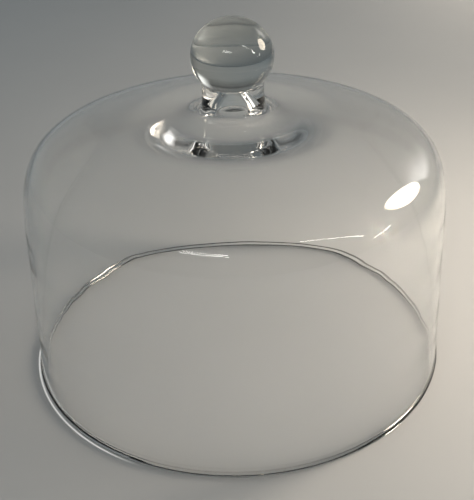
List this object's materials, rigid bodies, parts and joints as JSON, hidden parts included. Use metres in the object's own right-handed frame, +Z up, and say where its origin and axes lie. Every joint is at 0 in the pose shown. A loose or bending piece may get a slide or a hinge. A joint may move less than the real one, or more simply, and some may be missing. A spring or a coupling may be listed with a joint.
{
  "type": "bell jar dome",
  "caption": "Wide, low bell of clear blown glass, open below, with rounded shoulder, gently rising crown, waisted neck and solid ball knob, for covering an exhibit or food.",
  "frame": {"origin": "centre of the lip's foot ring, on the surface the dome stands on", "axes": "+Z up the axis of the dome towards the ball knob"},
  "size_m": [0.27, 0.27, 0.2257],
  "materials": {
    "bell_glass": "clear fire-polished blown glass, even wall with faint ripples and a thicker rounded lip",
    "knob_glass": "clear solid glass worked hot, fire-polished"
  },
  "bodies": {
    "root": {"dome_shell": "bell_glass", "knob_neck": "knob_glass", "knob_ball": "knob_glass"}
  },
  "joints": []
}
